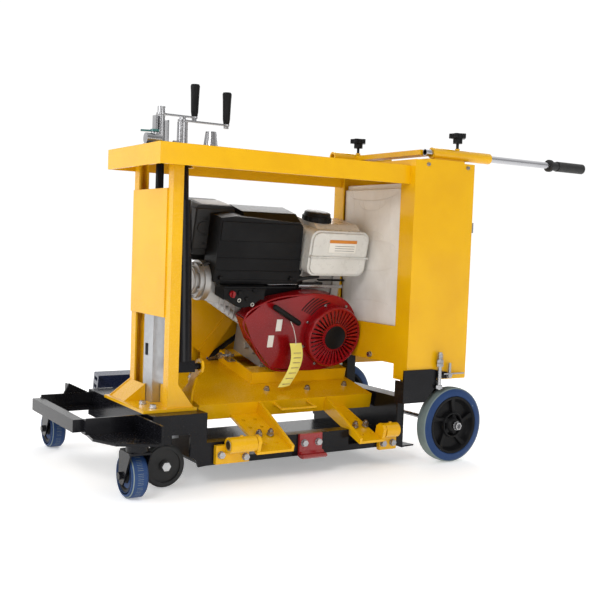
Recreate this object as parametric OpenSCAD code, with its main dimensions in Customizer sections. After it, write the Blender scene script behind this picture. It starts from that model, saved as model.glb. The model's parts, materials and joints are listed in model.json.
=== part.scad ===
// Walk-behind concrete saw: a gantry frame on casters and two rear wheels carries a
// tilting engine deck, a belt-driven blade on the far side, a water tank and a push bar.
// Machine axes: X runs from the casters to the push bar, Y from the near rail to the
// blade side, Z is up from the floor. The whole model is then centred on its footprint.

/* [Frame] */
// Length of the near side rail
rail_len = 619; // [610:1:630]
// Height of the side rail channel
rail_h = 56; // [50:1:60]
// Height of the rail's underside over the floor
rail_z = 50; // [46:1:54]
// Length of the front cross box along X
box_len = 141; // [136:1:146]
// Width of the front cross box along Y
box_w = 430; // [420:1:440]
// Height of the top face of the front cross box
box_top = 179; // [176:1:182]

/* [Gantry] */
// Length of the top beam
beam_len = 727; // [724:1:727]
// Width of the top beam
beam_w = 324; // [318:1:330]
// Height of the top face of the beam
beam_top = 813; // [808:1:818]
// Depth of the folded beam flanges
beam_h = 50; // [44:1:56]
// Sheet thickness of the folded yellow parts
sheet = 5; // [4:0.5:6]
// Outside width of the column
column_w = 235; // [230:1:240]

/* [Wheels] */
// Diameter of the rear wheels
rear_d = 209; // [200:1:210]
// Width of the rear tyres
rear_w = 42; // [38:1:44]
// Diameter of the caster wheels
caster_d = 105; // [100:1:106]
// Width of the caster tyres
caster_w = 40; // [34:1:40]
// Diameter of the fixed guide wheel
guide_d = 104; // [98:1:104]

/* [Deck] */
// Length of the engine deck
deck_len = 549; // [540:1:550]
// Width of the engine deck
deck_w = 325; // [318:1:328]
// Depth of the deck skirts
skirt_h = 41; // [36:1:44]
// Angle of the deck when raised for transport
deck_tilt = 12; // [10:0.5:13]

/* [Saw] */
// Diameter of the blade
blade_d = 350; // [300:5:350]
// Diameter of the recoil cover on the engine
recoil_d = 176; // [168:1:184]

/* [Tank and handle] */
// Height of the tank housing's top edge
housing_top = 829; // [826:1:832]
// Outside diameter of the push bar
bar_d = 19; // [18:0.5:20]
// Outside diameter of the hand grip
grip_d = 30; // [27:1:32]

/* [Hidden] */
$fn = 64;

// Colours
yellow = [0.90, 0.70, 0.02];
black = [0.05, 0.05, 0.06];
zinc = [0.70, 0.70, 0.68];
red = [0.60, 0.03, 0.03];
blue = [0.10, 0.16, 0.38];
white = [0.86, 0.84, 0.78];

// Footprint, used only to centre the model
bar_end_x = 1401;
front_x = -154;
caster_trail = 25;
caster_x = -46;
caster_near_y = -38;
caster_far_y = 532;
outer_near_y = -84;
mid = [(bar_end_x + front_x) / 2, (outer_near_y + caster_far_y + caster_trail + caster_d / 2) / 2];

// Running clearance on each side of a shaft
run = 0.05;

// Frame heights and stations
rail_x0 = 127;
rail_x1 = rail_x0 + rail_len;
rail_top = rail_z + rail_h;
box_x0 = 8;
box_x1 = box_x0 + box_len;
flange_top = box_top + 7;
plate_top = 134;

// Gantry
beam_y0 = -18;
beam_y1 = beam_y0 + beam_w;
beam_bottom = beam_top - beam_h;
post_x0 = 65;
post_x1 = 92;
post_w = 28;
col_y0 = 48;
col_y1 = col_y0 + column_w;
col_mid = (col_y0 + col_y1) / 2;

// Lifting screws
crank_a_pos = [81, 165];
crank_b_pos = [134, 154];
jack_top = [154, 785];
jack_pin = [120, 275];
jack_vec = jack_pin - jack_top;
jack_len = norm(jack_vec);
jack_lean = atan(-jack_vec[0] / -jack_vec[1]);
crank_z = beam_top;

// Deck frame: hinge axis and the deck's near top edge
hinge = [-30, 101.5];
deck_edge = [126, 173];
deck_x0 = 189;
deck_x1 = deck_x0 + deck_len;
tube_r = 19.5;
shaft_r = 10;

// Engine and saw, in deck coordinates
crank_c = [637, 143];
arbor_c = [400, -30];
blade_y = 385;
pulley_y = 345;
pto_pulley_r = 46;
arbor_pulley_r = 40;

// Housing
house_x0 = 727;
house_x1 = 938;
house_y0 = -39;
house_y1 = 336;
house_z0 = 232;
shelf_z = 372;
clamp_z = housing_top + 23;
clamp_y = [-16, 313];
clamp_x = [798, 698];
clamp_len = 212;
clamp_r = 15;
knob_dx = 93;

// Rear axle
axle_x = 887;
axle_z = rear_d / 2;
axle_r = 7;
wheel_near_y = -59.5;
wheel_far_y = 464;

// Guide wheel
guide_x = 55;
guide_y = 30;
guide_w = 28;

// ---------------------------------------------------------------- helpers
module place() { translate([-mid[0], -mid[1], 0]) children(); }
module on_deck() { translate([0, deck_edge[0], deck_edge[1]]) rotate([deck_tilt, 0, 0]) children(); }
module bx(x0, x1, y0, y1, z0, z1) { translate([x0, y0, z0]) cube([x1 - x0, y1 - y0, z1 - z0]); }
module rod_x(x0, x1, y, z, r) { translate([x0, y, z]) rotate([0, 90, 0]) cylinder(r = r, h = x1 - x0); }
module rod_y(y0, y1, x, z, r) { translate([x, y0, z]) rotate([-90, 0, 0]) cylinder(r = r, h = y1 - y0); }
module rod_z(z0, z1, x, y, r) { translate([x, y, z0]) cylinder(r = r, h = z1 - z0); }
// A 2D outline drawn in x and z, given thickness from y0 to y1
module slab_y(y0, y1) { translate([0, y1, 0]) rotate([90, 0, 0]) linear_extrude(y1 - y0) children(); }
// A 2D outline drawn in y and z, given thickness from x0 to x1
module slab_x(x0, x1) { translate([x0, 0, 0]) rotate([90, 0, 90]) linear_extrude(x1 - x0) children(); }
// Rectangle with round corners, from two opposite corners
module round_rect(a, b, r) {
    translate(a + [r, 0]) square(b - a - [2 * r, 0]);
    translate(a + [0, r]) square(b - a - [0, 2 * r]);
    for (x = [a[0] + r, b[0] - r], y = [a[1] + r, b[1] - r]) translate([x, y]) circle(r);
}
module ring(r_out, r_in) { difference() { circle(r_out); circle(r_in); } }
// Hexagon head of a given width across flats
module hex(af, h) { cylinder(d = af / cos(30), h = h, $fn = 6); }
// Upright bolt head with its washer, standing on a face
module head_z(af, h) { cylinder(d = af * 1.25, h = 2); translate([0, 0, 2]) hex(af, h); }
module head_minus_y(af, h) { rotate([90, 0, 0]) head_z(af, h); }

// ---------------------------------------------------------------- frame
module base_frame() color(black) {
    web = 5;
    flange = 36;
    // Near rail: a channel that opens towards the deck
    difference() {
        bx(box_x1, rail_x1, 0, flange, rail_z, rail_top);
        bx(box_x1 - 1, rail_x1 + 1, web, flange + 1, rail_z + web, rail_top - web);
        for (p = bolt_rail) rod_y(-1, web + 1, p[0], p[1], 5.2);
        // Notches that the deck arms drop into
        for (x = [[262, 378], [570, 664]]) bx(x[0], x[1], -1, flange + 1, 66, rail_top + 1);
    }
    // Front cross box: top sheet, two webs and the arched near end plate
    difference() {
        bx(box_x0, box_x1, 0, box_w, box_top - 6, box_top);
        for (p = bolt_column) rod_z(box_top - 7, box_top + 1, p[0], p[1], 5.2);
        guide_slot(box_top - 7, box_top + 1);
    }
    for (x = [box_x0, box_x1 - 6]) bx(x, x + 6, 6, box_w, 110, box_top - 6);
    slab_y(0, 6) polygon([[box_x0, box_top - 6], [box_x1, box_top - 6], [box_x1, rail_z],
        [128, rail_z - 2], [122, 66], [106, 76], [106, 131], [57, 131], [57, 110], [box_x0, 110]]);
    bx(box_x0 + 6, box_x1 - 6, box_w - 6, box_w, 110, box_top - 6);
    // Belly sheet between the box and the rear wall
    bx(box_x1, rail_x1, flange - 10, 400, rail_z - 6, rail_z);
    // Rear wall with its near end plate and step
    wall_x = rail_x1;
    bx(wall_x, wall_x + 6, 0, box_w, rail_z - 6, 179);
    bx(wall_x + 6, wall_x + 50, 6, box_w, 173, 179);
    slab_y(-6, 0) polygon([[wall_x - 19, rail_z], [wall_x + 4, rail_z - 8], [wall_x + 4, 205], [wall_x - 19, 205]]);
    step_plate(wall_x + 6);
    // Arm that carries the far end of the rear axle
    difference() {
        slab_y(430, 438) polygon([[wall_x, 60], [wall_x, 150], [wall_x + 60, 150],
            [axle_x + 22, axle_z + 20], [axle_x + 22, axle_z - 20], [axle_x - 30, axle_z - 24]]);
        rod_y(429, 439, axle_x, axle_z, axle_r + run);
    }
    // Posts that carry the tank shelf
    for (y = [10, 290]) bx(wall_x + 20, wall_x + 50, y, y + 26, 173, shelf_z);
}
// Small step plate behind the rear wall
module step_plate(x) {
    translate([x, 0, 42]) linear_extrude(4) polygon([[0, 0], [46, 4], [30, 60], [0, 90]]);
}
bolt_rail = [[182, 76], [250, 66], [424, 84], [467, 84], [676, 62], [708, 62]];
bolt_column = [for (y = [66, 128]) [36, y], for (y = [78, 165, 262]) [122, y]];
module guide_slot(z0, z1) { bx(65, 107, 143, 201, z0, z1); }

module front_frame() color(black) {
    bar_w = 26;
    y0 = 68;
    y1 = 412;
    x0 = front_x;
    // Front bar and the two side angles, upright leg and foot
    bx(x0, x0 + bar_w, y0 + 18, y1 - 14, plate_top + 4, plate_top + 34);
    bx(x0 + bar_w, box_x0, y0, y0 + 6, plate_top, plate_top + 38);
    bx(x0 + bar_w, box_x0, y0 + 6, y0 + bar_w, plate_top, plate_top + 6);
    bx(x0 + bar_w, box_x0, y1 - 6, y1, plate_top, plate_top + 40);
    bx(x0 + bar_w, box_x0, y1 - bar_w - 20, y1 - 6, plate_top, plate_top + 6);
    for (y = [y0, y1 - 6]) bx(x0 + bar_w - 2, x0 + bar_w + 4, min(y, y1 - 20), max(y + 6, y0 + 26), plate_top, plate_top + 34);
    // Outer plates for the casters
    difference() {
        union() {
            caster_plate_outline();
            translate([0, caster_near_y + caster_far_y, 0]) mirror([0, 1, 0]) caster_plate_outline();
        }
        for (y = [caster_near_y, caster_far_y]) rod_z(120, plate_top + 1, caster_x, y, 8 + run);
    }
    // Upright gusset on the far angle, and the folded edges of the near plate
    slab_y(y1, y1 + 6) polygon([[-70, plate_top], [-66, plate_top + 40], [-52, plate_top + 66], [box_x0, plate_top + 36], [box_x0, plate_top]]);
    bx(-8, -3, outer_near_y, y0, plate_top, box_top - 5);
    bx(-8, -3, y1 + 6, caster_near_y + caster_far_y - outer_near_y, plate_top, box_top - 5);
}
module caster_plate_outline() {
    translate([0, 0, plate_top - 6]) linear_extrude(6)
        polygon([[-120, 92], [-128, 25], [-99, -44], [-18, outer_near_y], [-3, outer_near_y], [-3, 2], [box_x0, 2], [box_x0, 92]]);
}

// ---------------------------------------------------------------- gantry
module column() color(yellow) {
    // Foot flange
    difference() {
        bx(0, 140, 40, 292, box_top, flange_top);
        for (p = bolt_column) rod_z(box_top - 1, flange_top + 1, p[0], p[1], 5.2);
        guide_slot(box_top - 1, flange_top + 1);
    }
    // Two folded posts: open channels that face each other
    for (y = [col_y0, col_y1 - post_w]) difference() {
        bx(post_x0, post_x1, y, y + post_w, flange_top, beam_top - sheet);
        bx(post_x0 + sheet, post_x1 - sheet, y + (y == col_y0 ? sheet : -1),
            y + post_w - (y == col_y0 ? -1 : sheet), flange_top - 1, beam_top);
    }
    // Front cover sheet with folded edges, and the low closing panel behind the window
    bx(post_x0 - 3, post_x0, col_y0 + post_w, col_y1, 403, 714);
    bx(post_x0, post_x0 + 12, col_y0 + post_w, col_y0 + post_w + 4, 403, 714);
    bx(post_x1 - 4, post_x1, col_y0 + post_w, 142, flange_top, 232);
    bx(post_x1 - 4, post_x1, 202, col_y1 - post_w, flange_top, 232);
    // Gussets and the sloped sheet between the front pair
    for (y = [181, col_y1 - sheet]) slab_y(y, y + sheet)
        polygon([[8, flange_top], [post_x0, flange_top], [post_x0, 228]]);
    slab_y(181 + sheet, col_y1 - sheet)
        polygon([[12, flange_top], [18, flange_top], [post_x0, 222], [post_x0, 226]]);
    slab_y(col_y0, col_y0 + sheet) polygon([[post_x1, flange_top], [134, flange_top], [post_x1, 243]]);
    slab_y(col_y1 - sheet, col_y1) polygon([[post_x1, flange_top], [134, flange_top], [post_x1, 243]]);
}

module top_beam() color(yellow) {
    difference() {
        bx(0, beam_len, beam_y0, beam_y1, beam_bottom, beam_top);
        bx(sheet, beam_len + 1, beam_y0 + sheet, beam_y1 - sheet, beam_bottom - 1, beam_top - sheet);
        rod_z(beam_bottom, beam_top + 1, crank_a_pos[0], crank_a_pos[1], 8);
        rod_z(beam_bottom, beam_top + 1, crank_b_pos[0], crank_b_pos[1], 8);
    }
    // Hanger ears for the jack's top pivot
    for (x = [crank_b_pos[0] - 27, crank_b_pos[0] + 21]) difference() {
        bx(x, x + 6, jack_top[0] - 18, jack_top[0] + 18, jack_top[1] - 14, beam_top - sheet);
        rod_x(x - 1, x + 7, jack_top[0], jack_top[1], 6 + run);
    }
}

module tank_housing() color(yellow) {
    t = 4;
    lip = 59;
    // Near, far and rear walls, open at the front and the top
    bx(house_x0, house_x1, house_y0, house_y0 + t, house_z0, housing_top);
    bx(house_x0, house_x1, house_y1 - t, house_y1, house_z0, housing_top);
    bx(house_x1 - t, house_x1, house_y0 + t, house_y1 - t, house_z0, housing_top);
    // Folded front lips, lower front sheet and shelf
    difference() {
        bx(house_x0, house_x0 + t, house_y0 + t, house_y0 + lip, house_z0, housing_top);
        rod_x(house_x0 - 1, house_x0 + t + 1, -2, beam_top - 30, 4);
    }
    bx(house_x0, house_x0 + t, house_y1 - 46, house_y1 - t, house_z0, housing_top);
    difference() {
        bx(house_x0, house_x0 + t, house_y0 + lip, house_y1 - 46, 273, shelf_z + 4);
        rod_x(house_x0 - 1, house_x0 + t + 1, 127, 286, 5.2);
    }
    bx(house_x0 + t, house_x1 - t, house_y0 + t, house_y1 - t, shelf_z, shelf_z + 4);
    bx(house_x0, house_x0 + t, house_y0 + lip, house_y1 - 46, beam_top, housing_top);
    // Strap across the top that joins the two clamp tubes
    bx(770, 815, clamp_y[0] + 13, clamp_y[1] - 13, clamp_z - 6, clamp_z + 8);
    bx(770, 800, house_y0, house_y1, housing_top, housing_top + 5);
    bx(800, 900, house_y0, house_y0 + 34, housing_top, housing_top + 5);
    // Clamp tubes with their screw bosses
    for (i = [0, 1]) clamp_tube(clamp_x[i], clamp_y[i]);
}
module clamp_tube(x, y) {
    difference() {
        union() {
            rod_x(x, x + clamp_len, y, clamp_z, clamp_r);
            rod_z(clamp_z + 12, clamp_z + clamp_r + 3, x + knob_dx, y, 7);
            bx(x + 6, x + clamp_len - 100, y - 8, y + 8, housing_top + 5, clamp_z - 8);
        }
        rod_x(x - 1, x + clamp_len + 1, y, clamp_z, bar_d / 2 + run);
        rod_z(clamp_z, clamp_z + clamp_r + 4, x + knob_dx, y, 4 + run);
    }
}

module water_tank() color(white) {
    x0 = 735;
    x1 = 925;
    r = 22;
    translate([0, 0, shelf_z + 4]) linear_extrude(392 - 14) round_rect([x0, 18], [x1, 305], r);
    translate([0, 0, shelf_z + 4 + 392 - 14]) linear_extrude(14) round_rect([x0 + 7, 25], [x1 - 7, 298], r - 7);
    // Filler neck
    rod_z(shelf_z + 396, shelf_z + 410, 850, 90, 24);
}
module tank_cap() color(black) {
    z = shelf_z + 410;
    difference() {
        rod_z(z - 10, z + 8, 850, 90, 31);
        rod_z(z - 11, z + 0.3, 850, 90, 24.3);
    }
    for (a = [0 : 30 : 330]) translate([850, 90, z - 8]) rotate(a) translate([31, 0, 0]) cylinder(r = 2, h = 14);
}

// ---------------------------------------------------------------- rear running gear
module axle_bracket() color(black) {
    difference() {
        union() {
            // Outer plate on the housing, cut round the wheel
            difference() {
                slab_y(house_y0 - 5, house_y0) polygon([[714, 262], [813, 262], [868, 252], [868, 234],
                    [830, 236], [822, 206], [790, 172], [714, 172]]);
                rod_y(house_y0 - 6, house_y0 + 1, axle_x, axle_z, rear_d / 2 + 6);
            }
            // Return to the rear wall's end plate
            bx(714, 720, house_y0, -6, 172, 231);
            // Stud block under the outer plate
            bx(820, 850, house_y0, -5, 206, 231);
            // Inner arm down to the axle
            slab_y(-11, -5) polygon([[800, 231], [868, 231], [axle_x + 20, axle_z + 10],
                [axle_x + 14, axle_z - 18], [axle_x - 14, axle_z - 18]]);
        }
        rod_y(-12, -4, axle_x, axle_z, axle_r + run);
        rod_z(200, 240, 833, house_y0 + 12, 6);
    }
}
module rear_axle() color(zinc) {
    // Through axle with end washers and nuts
    y0 = wheel_near_y - 10;
    y1 = wheel_far_y + rear_w + 10;
    rod_y(y0 - 4, y1 + 4, axle_x, axle_z, axle_r);
    difference() {
        union() {
            translate([axle_x, y0, axle_z]) rotate([90, 0, 0]) { cylinder(r = 12, h = 2); translate([0, 0, 2]) hex(19, 8); }
            translate([axle_x, y1, axle_z]) rotate([-90, 0, 0]) { cylinder(r = 12, h = 2); translate([0, 0, 2]) hex(19, 8); }
        }
        rod_y(y0 - 20, y1 + 20, axle_x, axle_z, axle_r - 0.5);
    }
    // Height stud with lock nuts and a second clamp bolt beside it
    x = 833;
    y = house_y0 - 12;
    rod_z(206, 309, x, y, 5.5);
    for (z = [209, 270, 280]) difference() {
        translate([x, y, z]) hex(17, 9);
        rod_z(z - 1, z + 10, x, y, 5);
    }
    for (z = [290 : 4 : 302]) difference() {
        rod_z(z, z + 2, x, y, 8);
        rod_z(z - 1, z + 3, x, y, 5);
    }
    translate([872, house_y0 - 5, 243]) head_minus_y(13, 6);
    rod_z(250, 278, 872, house_y0 - 9, 4);
    bx(850, 924, house_y0 - 12, house_y0 - 8, 246, 250);
}

module rear_tyre(y) {
    difference() {
        union() {
            rod_y(y + 6, y + rear_w - 6, axle_x, axle_z, rear_d / 2);
            rod_y(y, y + rear_w, axle_x, axle_z, rear_d / 2 - 6);
            rod_y(y + 3, y + rear_w - 3, axle_x, axle_z, rear_d / 2 - 2.5);
        }
        rod_y(y - 1, y + rear_w + 1, axle_x, axle_z, 78);
    }
}
module rear_tyre_near() color(blue) rear_tyre(wheel_near_y);
module rear_tyre_far() color(blue) rear_tyre(wheel_far_y);
module rear_hub(y) {
    c = y + rear_w / 2;
    difference() {
        union() {
            rod_y(y + 2, y + rear_w - 2, axle_x, axle_z, 78);
            rod_y(y - 5, y + rear_w + 5, axle_x, axle_z, 19);
        }
        // Dish on both faces, with a web between
        for (s = [-1, 1]) translate([axle_x, c + s * (rear_w / 2 - 5), axle_z]) rotate([90, 0, 0])
            translate([0, 0, -7]) linear_extrude(14) ring(70, 26);
        rod_y(y - 6, y + rear_w + 6, axle_x, axle_z, axle_r + run);
    }
    // Spokes
    for (a = [0 : 72 : 288]) translate([axle_x, c, axle_z]) rotate([0, a, 0])
        bx(18, 73, -rear_w / 2 + 5, rear_w / 2 - 5, -5, 5);
}
module rear_hub_near() color(black) rear_hub(wheel_near_y);
module rear_hub_far() color(black) rear_hub(wheel_far_y);

// ---------------------------------------------------------------- casters and guide wheel
module caster_fork(ys) color(black) {
    yw = ys + caster_trail;
    leg_x = caster_w / 2 + 3;
    crown = 112;
    // Kingpin, bearing cup and crown
    rod_z(plate_top - 14, plate_top + 4, caster_x, ys, 8);
    rod_z(crown, plate_top - 6 - 0.4, caster_x, ys, 26);
    difference() {
        translate([0, 0, crown - 5]) linear_extrude(5)
            round_rect([caster_x - leg_x - 4, ys - 26], [caster_x + leg_x + 4, yw + 18], 8);
        rod_x(caster_x - leg_x, caster_x + leg_x, yw, caster_d / 2, caster_d / 2 + 1);
    }
    // Two legs and the axle bolt
    for (s = [-1, 1]) slab_x(caster_x + s * (leg_x + 2) - 2, caster_x + s * (leg_x + 2) + 2)
        polygon([[ys - 24, crown - 5], [yw + 17, crown - 5], [yw + 15, 40], [yw + 9, 33], [yw - 9, 33], [yw - 15, 40]]);
    rod_x(caster_x - leg_x - 10, caster_x + leg_x + 10, yw, caster_d / 2, 5);
    for (s = [-1, 1]) translate([caster_x + s * (leg_x + 4), yw, caster_d / 2]) rotate([0, 90 * s, 0]) hex(16, 7);
}
module caster_fork_near() caster_fork(caster_near_y);
module caster_fork_far() caster_fork(caster_far_y);
module caster_wheel(ys) color(blue) {
    yw = ys + caster_trail;
    z = caster_d / 2;
    h = caster_w / 2;
    difference() {
        union() {
            rod_x(caster_x - h + 5, caster_x + h - 5, yw, z, z);
            rod_x(caster_x - h, caster_x + h, yw, z, z - 5);
            rod_x(caster_x - h - 2.5, caster_x + h + 2.5, yw, z, 13);
        }
        for (s = [-1, 1]) translate([caster_x + s * h, yw, z]) rotate([0, 90, 0])
            translate([0, 0, -6]) linear_extrude(12) ring(z - 14, 13);
        rod_x(caster_x - h - 4, caster_x + h + 4, yw, z, 5 + run);
    }
}
module caster_wheel_near() caster_wheel(caster_near_y);
module caster_wheel_far() caster_wheel(caster_far_y);

// Fixed zinc sleeve in the column, with the dark screw tube standing on it
module guide_sleeve() color(zinc) {
    top = 430;
    difference() {
        bx(66, 106, 144, 200, flange_top - 14, top);
        bx(69, 103, 147, 197, flange_top - 15, top - 3);
        rod_z(top - 4, top + 1, crank_a_pos[0], crank_a_pos[1], 8);
        bx(65, 70, 172, 192, 300, 330);
    }
    translate([0, 0, top]) linear_extrude(beam_top - sheet - top) translate(crank_a_pos) ring(10, 8.2);
}
// Inner slide with the guide wheel's fork
module guide_slide() color(zinc) {
    gy0 = guide_y - 5;
    gy1 = guide_y + guide_w + 5;
    z = guide_d / 2;
    difference() {
        union() {
            bx(69.3, 102.7, 147.3, 196.7, 120, 300);
            bx(guide_x - 18, 102.7, gy1 - 3, 196.7, 110, 120);
            slab_y(gy1 - 3, gy1 + 5)
                polygon([[guide_x - 18, 120], [guide_x + 18, 120], [guide_x + 12, z - 14], [guide_x - 12, z - 14]]);
        }
        rod_z(119, 301, crank_a_pos[0], crank_a_pos[1], 6 + run);
        rod_z(100, 140, crank_a_pos[0], crank_a_pos[1], 9);
        rod_y(gy1 - 4, gy1 + 6, guide_x, z, 5.9);
    }
    rod_y(gy0 - 2, gy1 + 8, guide_x, z, 6);
    translate([guide_x, gy0 + 3, z]) rotate([90, 0, 0]) hex(20, 8);
}
module guide_wheel() color(black) {
    z = guide_d / 2;
    difference() {
        union() {
            rod_y(guide_y + 4, guide_y + guide_w - 4, guide_x, z, z);
            rod_y(guide_y, guide_y + guide_w, guide_x, z, z - 4);
        }
        for (y = [guide_y, guide_y + guide_w]) translate([guide_x, y, z]) rotate([90, 0, 0])
            translate([0, 0, -4]) linear_extrude(8) ring(z - 12, 14);
        rod_y(guide_y - 2, guide_y + guide_w + 2, guide_x, z, 6 + run);
    }
}

// ---------------------------------------------------------------- hinge and small frame parts
module hinge_housings() color(yellow) {
    for (u = [[192, 264, 169, 261, 53, 99], [662, 706, 665, 722, 44, 82]]) difference() {
        union() {
            rod_x(u[0], u[1], hinge[0], hinge[1], tube_r);
            bx(u[2], u[3], -12, 0, u[4], u[5]);
            bx(u[0], u[1], hinge[0], -6, hinge[1] - tube_r, hinge[1] - 2);
            rod_z(hinge[1] + 10, hinge[1] + tube_r + 3, (u[0] + u[1]) / 2, hinge[0], 4);
        }
        rod_x(u[0] - 1, u[1] + 1, hinge[0], hinge[1], shaft_r + run);
        for (p = bolt_rail) rod_y(-13, 1, p[0], p[1], 5.2);
    }
}
module lashing_hook() color(red) {
    difference() {
        union() {
            bx(411, 480, -8, 0, 62, 107);
            slab_x(411, 484) polygon([[0, 50], [0, 62], [-8, 62], [-14, 57], [-24, 56], [-30, 51], [-24, 46], [-12, 46]]);
        }
        for (x = [424, 467]) rod_y(-9, 1, x, 84, 5.2);
    }
}
module frame_bolts() color(zinc) {
    // Column bolts, through the flange and the box top
    for (p = bolt_column) {
        translate([p[0], p[1], flange_top]) head_z(15, 7);
        rod_z(box_top - 6, flange_top + 1, p[0], p[1], 5);
    }
    // Hook bolts and hinge housing bolts
    for (i = [0 : len(bolt_rail) - 1]) {
        y = (i == 2 || i == 3) ? -8 : -12;
        translate([bolt_rail[i][0], y, bolt_rail[i][1]]) head_minus_y(15, 7);
        rod_y(y - 1, 5, bolt_rail[i][0], bolt_rail[i][1], 5);
    }
    // Housing sheet bolt
    translate([house_x0, 127, 286]) rotate([0, -90, 0]) head_z(13, 6);
    rod_x(house_x0 - 1, house_x0 + 4, 127, 286, 5);
    // Small screws under the near clamp tube, standing on the housing's near wall
    for (x = [769, 911]) translate([x, house_y0, 818]) head_minus_y(8, 4);
    // Rear latch
    bx(house_x1, house_x1 + 10, -34, -20, 640, 668);
}

// ---------------------------------------------------------------- top of the beam
module crank_posts() color(zinc) {
    // Post A with its stop plate and back plate
    difference() {
        union() {
            bx(60, 104, 143, 187, crank_z, crank_z + 4);
            rod_z(crank_z + 4, crank_z + 82, crank_a_pos[0], crank_a_pos[1], 10);
        }
        rod_z(crank_z - 1, crank_z + 83, crank_a_pos[0], crank_a_pos[1], 6 + run);
    }
    bx(62, 67, 155, 175, crank_z + 4, crank_z + 81);
    bx(96, 99, 157, 173, crank_z + 4, crank_z + 72);
    // Post B with its base plates
    difference() {
        union() {
            bx(112, 160, 130, 178, crank_z, crank_z + 5);
            rod_z(crank_z + 5, crank_z + 70, crank_b_pos[0], crank_b_pos[1], 14);
        }
        rod_z(crank_z - 1, crank_z + 71, crank_b_pos[0], crank_b_pos[1], 6 + run);
    }
}
// Crank: a flat arm from its hub to the grip pin
module crank_arm(z, len, ang) {
    difference() {
        rotate(ang) translate([0, 0, z]) linear_extrude(4) { circle(13); translate([0, -7]) square([len, 14]); translate([len, 0]) circle(9); }
        translate([0, 0, z - 1]) cylinder(r = 5.9, h = 6);
    }
}
crank_a_len = 90;
crank_b_len = 122;
crank_ang = 0;
crank_a_z = crank_z + 84;
crank_b_z = crank_z + 72;
module crank_a() color(zinc) translate([crank_a_pos[0], crank_a_pos[1], 0]) {
    crank_arm(crank_a_z, crank_a_len, crank_ang);
    rotate_grip_pin(crank_a_len, crank_a_z);
    // Hub cap, shaft and the lift screw in one line
    translate([0, 0, crank_a_z + 4]) cylinder(r = 10, h = 16);
    translate([0, 0, 140]) cylinder(r = 6, h = crank_a_z + 6 - 140);
}
module rotate_grip_pin(len, z) {
    rotate(crank_ang) translate([len, 0, z]) {
        translate([0, 0, 3]) cylinder(r = 4, h = 70);
        translate([0, 0, -7]) hex(13, 7);
    }
}
module crank_b() color(zinc) translate([crank_b_pos[0], crank_b_pos[1], 0]) {
    crank_arm(crank_b_z, crank_b_len, crank_ang);
    rotate_grip_pin(crank_b_len, crank_b_z);
    translate([0, 0, crank_b_z + 4]) hex(17, 6);
    translate([0, 0, beam_top - 9]) cylinder(r = 6, h = crank_b_z + 6 - beam_top + 9);
}
module crank_grip(len, z) {
    rotate(crank_ang) translate([len, 0, z + 4.4]) difference() {
        rotate_extrude() polygon([[0, 0], [7.5, 0], [9.5, 12], [11, 60], [12, 76], [10.5, 80], [0, 80]]);
        translate([0, 0, -1]) cylinder(r = 4 + run, h = 71);
    }
}
module crank_grip_a() color(black) translate([crank_a_pos[0], crank_a_pos[1], 0]) crank_grip(crank_a_len, crank_a_z);
module crank_grip_b() color(black) translate([crank_b_pos[0], crank_b_pos[1], 0]) crank_grip(crank_b_len, crank_b_z);

// Shut-off valve at the front of the beam and the hose union behind the cranks
valve_pos = [40, 108];
module water_fittings() color(zinc) {
    z = beam_top;
    rod_z(z, z + 4, valve_pos[0] - 6, valve_pos[1], 22);
    rod_x(valve_pos[0] - 24, valve_pos[0] + 14, valve_pos[1], z + 17, 13);
    rod_z(z + 17, z + 33, valve_pos[0], valve_pos[1], 9);
    translate([184, 96, z]) difference() {
        rotate_extrude() polygon([[0, 0], [22, 0], [22, 5], [19, 8], [14, 46], [0, 46]]);
        translate([0, 0, 12]) cylinder(r = 8, h = 40);
    }
    rod_x(98, 112, 128, z + 12, 8);
}
module valve_lever() color([0.1, 0.35, 0.35]) {
    z = beam_top + 33.4;
    rod_z(z, z + 6, valve_pos[0], valve_pos[1], 11);
    translate([0, 0, z]) linear_extrude(4) translate(valve_pos) rotate(160) translate([0, -6]) square([34, 12]);
}

// ---------------------------------------------------------------- lifting jack
// Moves its children from a straight drop under the top pivot to the leaning line
module on_jack() { translate([crank_b_pos[0], jack_top[0], jack_top[1]]) rotate([-jack_lean, 0, 0]) children(); }
module jack_upper() color(black) on_jack() {
    difference() {
        union() {
            translate([0, 0, -240]) cylinder(r = 18, h = 252);
            rotate([0, 90, 0]) translate([0, 0, -20]) cylinder(r = 10, h = 40);
        }
        translate([0, 0, -241]) cylinder(r = 15.5, h = 229);
        translate([0, 0, -30]) cylinder(r = 9, h = 45);
    }
    // Trunnion pins
    for (s = [-1, 1]) rotate([0, 90 * s, 0]) translate([0, 0, 17.5]) cylinder(r = 6, h = 11);
}
module jack_lower() color(black) on_jack() {
    top = -96;
    foot = jack_len - 14;
    difference() {
        translate([0, 0, -foot]) cylinder(r = 25, h = foot + top);
        translate([0, 0, -foot + 14]) cylinder(r = 18.4, h = foot + top);
    }
    // Nut that runs on the screw
    difference() {
        translate([0, 0, -300]) cylinder(r = 18.5, h = 26);
        translate([0, 0, -301]) cylinder(r = 8 + run, h = 28);
    }
    // Foot block and cross pin
    translate([0, 0, -jack_len]) {
        bx(-24, 28, -19, 19, -13, 16);
        rod_x(-24, 52, 0, 0, 8);
    }
}
module jack_screw() color(zinc) on_jack() {
    translate([0, 0, -jack_len + 60]) cylinder(r = 8, h = jack_len - 60 - 32);
    difference() {
        translate([0, 0, -34]) cylinder(r = 15.4, h = 5 - 1);
        translate([0, 0, -35]) cylinder(r = 7.5, h = 6);
    }
}

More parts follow.
